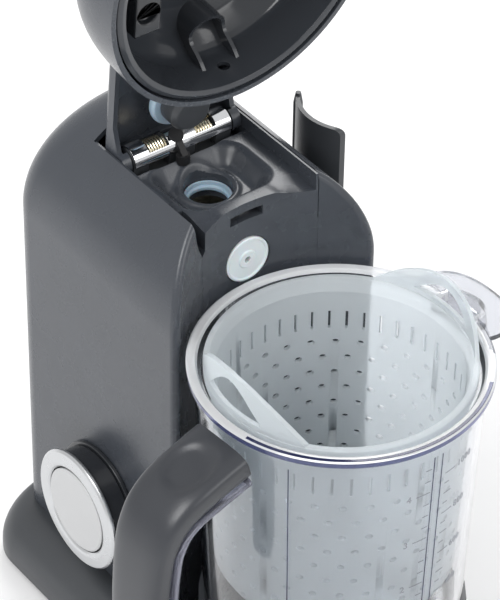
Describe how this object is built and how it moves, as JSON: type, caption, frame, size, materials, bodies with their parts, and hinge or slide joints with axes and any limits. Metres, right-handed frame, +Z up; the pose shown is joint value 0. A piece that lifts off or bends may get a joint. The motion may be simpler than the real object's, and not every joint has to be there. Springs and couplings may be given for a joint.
{
  "type": "baby food maker",
  "caption": "Countertop baby food maker that steams and blends: arched tower with water tank and knob, clear bowl with handle, steam basket and hinged domed lid.",
  "frame": {"origin": "bottom centre of the overall box, on the face that the feet rest on", "axes": "+Z up, +X from the tower towards the bowl, -Y is the side of the control knob and the bowl handle"},
  "size_m": [0.2378, 0.1828, 0.3987],
  "materials": {
    "charcoal_plastic": "satin",
    "dark_plastic": "satin",
    "gloss_plastic": "gloss",
    "silver_trim": "satin",
    "chrome": "polished",
    "steel": "satin",
    "spring_steel": "polished",
    "aluminium": "satin",
    "clear_plastic": "gloss",
    "milky_plastic": "satin",
    "blue_silicone": "satin",
    "white_silicone": "satin",
    "black_rubber": "matt",
    "natural_plastic": "satin",
    "circuit_board": "satin"
  },
  "bodies": {
    "machine": {"tower_shell": "charcoal_plastic", "front_face": "charcoal_plastic", "inlet_seal": "blue_silicone", "steam_seal": "white_silicone", "water_tank": "natural_plastic", "heater_plate": "aluminium", "heater_coil": "steel", "steam_pipe": "white_silicone", "hinge_bracket": "dark_plastic", "hinge_pin": "chrome", "hinge_spring_front": "spring_steel", "hinge_spring_back": "spring_steel", "hinge_bumper": "black_rubber", "plinth": "dark_plastic", "base_plate": "dark_plastic", "foot_front_left": "black_rubber", "foot_front_right": "black_rubber", "foot_back_left": "black_rubber", "foot_back_right": "black_rubber", "base_screw_front_left": "steel", "base_screw_front_right": "steel", "base_screw_back_left": "steel", "base_screw_back_right": "steel", "motor_frame": "steel", "motor_body": "steel", "drive_belt": "black_rubber", "shaft_bearing_lower": "steel", "shaft_bearing_upper": "steel", "cord_gland": "black_rubber", "knob_base_ring": "gloss_plastic", "knob_switch": "natural_plastic", "control_board": "circuit_board", "spatula_holder": "dark_plastic"},
    "motor_rotor": {"motor_shaft": "chrome", "motor_pulley": "natural_plastic"},
    "drive": {"drive_shaft": "chrome", "drive_pulley": "natural_plastic", "drive_coupler": "black_rubber"},
    "lid": {"lid_shell": "charcoal_plastic", "lid_liner": "gloss_plastic", "latch_housing": "dark_plastic", "tank_plug_cap": "dark_plastic", "tank_plug_seal": "blue_silicone"},
    "latch": {"latch_bolt": "dark_plastic"},
    "release_button": {"lid_release_button": "silver_trim"},
    "knob": {"knob_body": "gloss_plastic", "knob_bezel": "silver_trim", "knob_spindle": "steel"},
    "push_button": {"knob_button": "silver_trim"},
    "lock_ring": {"bowl_lock_ring": "dark_plastic"},
    "bowl": {"bowl": "clear_plastic", "bowl_base_collar": "dark_plastic", "blade_bush": "black_rubber", "handle_cover": "charcoal_plastic", "handle_core": "clear_plastic"},
    "basket": {"steam_basket": "milky_plastic"},
    "blades": {"blade_hub": "steel", "blade_lower": "chrome", "blade_upper": "chrome"},
    "spatula": {"spatula": "dark_plastic"}
  },
  "joints": [
    {"name": "lid_hinge", "type": "hinge", "parent": "machine", "child": "lid", "pos_m": [-0.0646, 0.01439, 0.2255], "axis": [0, 1, 0], "range_deg": [0, 84.5], "stiffness_Nm_per_rad": 0.15, "springref_deg": -28.65},
    {"name": "release_press", "type": "slide", "parent": "lid", "child": "release_button", "axis": [0.9954, 0, -0.0958], "range_m": [0, 0.0025], "stiffness_N_per_m": 400, "springref_m": -0.001},
    {"name": "latch_slide", "type": "slide", "parent": "lid", "child": "latch", "axis": [0.0958, 0, 0.9954], "range_m": [0, 0.0035]},
    {"name": "knob_turn", "type": "hinge", "parent": "machine", "child": "knob", "pos_m": [-0.0466, -0.05161, 0.0676], "axis": [0, 1, 0], "range_deg": [-35, 35], "stiffness_Nm_per_rad": 0.05},
    {"name": "button_press", "type": "slide", "parent": "knob", "child": "push_button", "axis": [0, 1, 0], "range_m": [0, 0.0018], "stiffness_N_per_m": 500, "springref_m": -0.001},
    {"name": "bowl_twist", "type": "hinge", "parent": "machine", "child": "lock_ring", "pos_m": [0.0489, 0.01439, 0.039], "axis": [0, 0, 1], "range_deg": [-25, 0]},
    {"name": "bowl_lift", "type": "slide", "parent": "lock_ring", "child": "bowl", "axis": [0, 0, -1], "range_m": [-0.12, 0]},
    {"name": "basket_lift", "type": "slide", "parent": "bowl", "child": "basket", "axis": [0, 0, -1], "range_m": [-0.06, 0]},
    {"name": "motor_spin", "type": "hinge", "parent": "machine", "child": "motor_rotor", "pos_m": [-0.0591, 0.01439, 0.014], "axis": [0, 0, 1], "continuous": true},
    {"name": "drive_spin", "type": "hinge", "parent": "machine", "child": "drive", "pos_m": [0.0489, 0.01439, 0.014], "axis": [0, 0, 1], "continuous": true},
    {"name": "blade_spin", "type": "hinge", "parent": "bowl", "child": "blades", "pos_m": [0.0489, 0.01439, 0.06], "axis": [0, 0, 1], "continuous": true},
    {"name": "spatula_slide", "type": "slide", "parent": "machine", "child": "spatula", "axis": [0, 0, 1], "range_m": [0, 0.07]}
  ],
  "couplings": [
    {"joint": "motor_spin", "follows": "drive_spin", "ratio": 3.7778},
    {"joint": "blade_spin", "follows": "drive_spin", "ratio": 1},
    {"joint": "latch_slide", "follows": "release_press", "ratio": 1.4}
  ]
}
